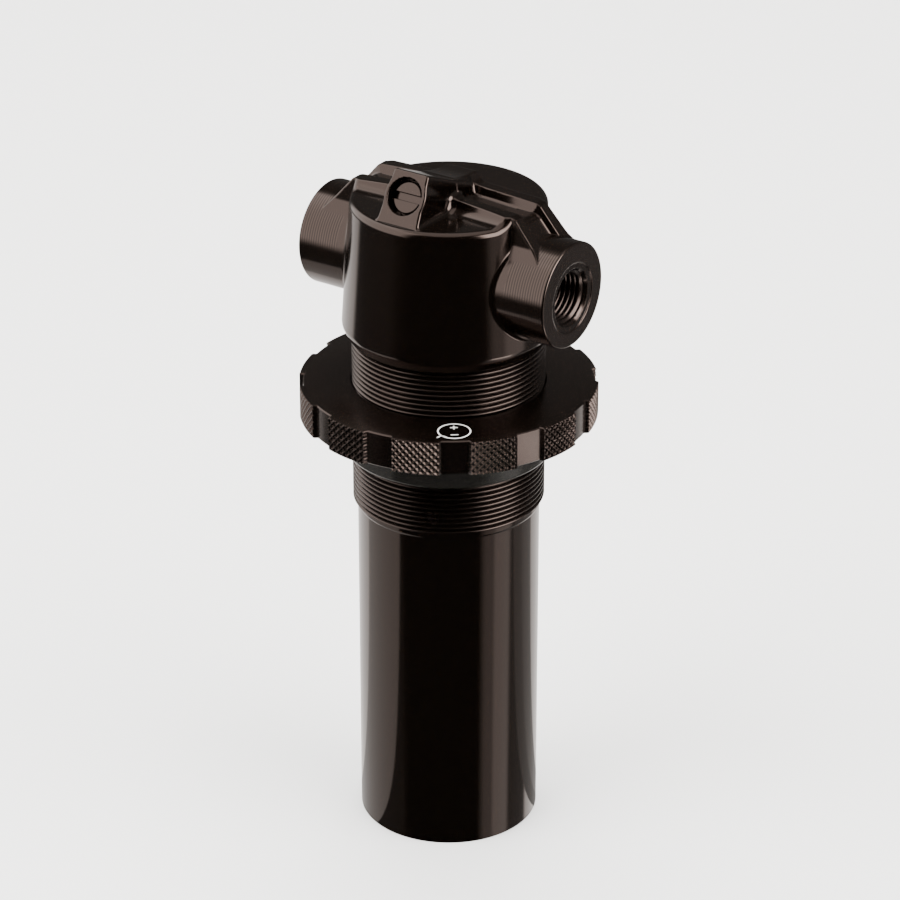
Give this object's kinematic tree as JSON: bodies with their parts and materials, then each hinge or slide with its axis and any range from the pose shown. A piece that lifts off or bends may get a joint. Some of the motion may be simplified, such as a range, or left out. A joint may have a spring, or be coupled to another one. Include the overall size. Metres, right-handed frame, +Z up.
{
  "type": "trunnion shock damper body",
  "caption": "Damper body of a coil-over bicycle shock: trunnion head with threaded bosses, threaded tube, knurled spring preload ring and an internal gas piston.",
  "frame": {"origin": "centre of the tube's open lower rim, which stands on z = 0", "axes": "+Z up the tube's axis to the head, +X along the trunnion bores, -Y towards the slanted gas port"},
  "size_m": [0.056, 0.056, 0.1368],
  "materials": {
    "black_anodised": "gloss black anodised",
    "plain_aluminium": "plain turned",
    "satin_steel": "satin",
    "black_rubber": "matt",
    "black_acetal": "satin moulded",
    "grey_acetal": "satin moulded",
    "bronze_ptfe": "matt"
  },
  "bodies": {
    "body": {"trunnion_head": "black_anodised", "damper_tube": "black_anodised", "head_seal": "black_rubber", "piston_stop_ring": "satin_steel", "port_pellet": "black_rubber"},
    "spring_seat": {"spring_pilot": "black_acetal"},
    "ring": {"preload_ring": "black_anodised", "ring_friction_seal": "black_rubber"},
    "port_seal": {"port_screw_seal": "black_rubber"},
    "port_plug": {"port_screw": "black_anodised"},
    "floating_piston": {"gas_piston": "plain_aluminium", "piston_seal": "black_rubber", "upper_back_up_ring": "grey_acetal", "lower_back_up_ring": "grey_acetal", "piston_guide_band": "bronze_ptfe", "piston_bleed_screw": "satin_steel", "bleed_screw_seal": "black_rubber"}
  },
  "joints": [
    {"name": "ring_travel", "type": "slide", "parent": "body", "child": "spring_seat", "axis": [0, 0, 1], "range_m": [-0.01701, 0.00901]},
    {"name": "ring_spin", "type": "hinge", "parent": "spring_seat", "child": "ring", "pos_m": [0, 0, 0.0884], "axis": [0, 0, 1], "range_deg": [-6120, 3240]},
    {"name": "port_screw_travel", "type": "slide", "parent": "body", "child": "port_seal", "axis": [0, -0.8755, 0.4833], "range_m": [0, 0.0049]},
    {"name": "port_screw_spin", "type": "hinge", "parent": "port_seal", "child": "port_plug", "pos_m": [0, -0.01402, 0.1328], "axis": [0, -0.8755, 0.4833], "range_deg": [0, 2521]},
    {"name": "piston_slide", "type": "slide", "parent": "body", "child": "floating_piston", "axis": [0, 0, 1], "range_m": [-0.02, 0.012]}
  ],
  "couplings": [
    {"joint": "ring_travel", "follows": "ring_spin", "m_per_rad": 0.00015915},
    {"joint": "port_screw_spin", "follows": "port_screw_travel", "rad_per_m": 8976}
  ]
}
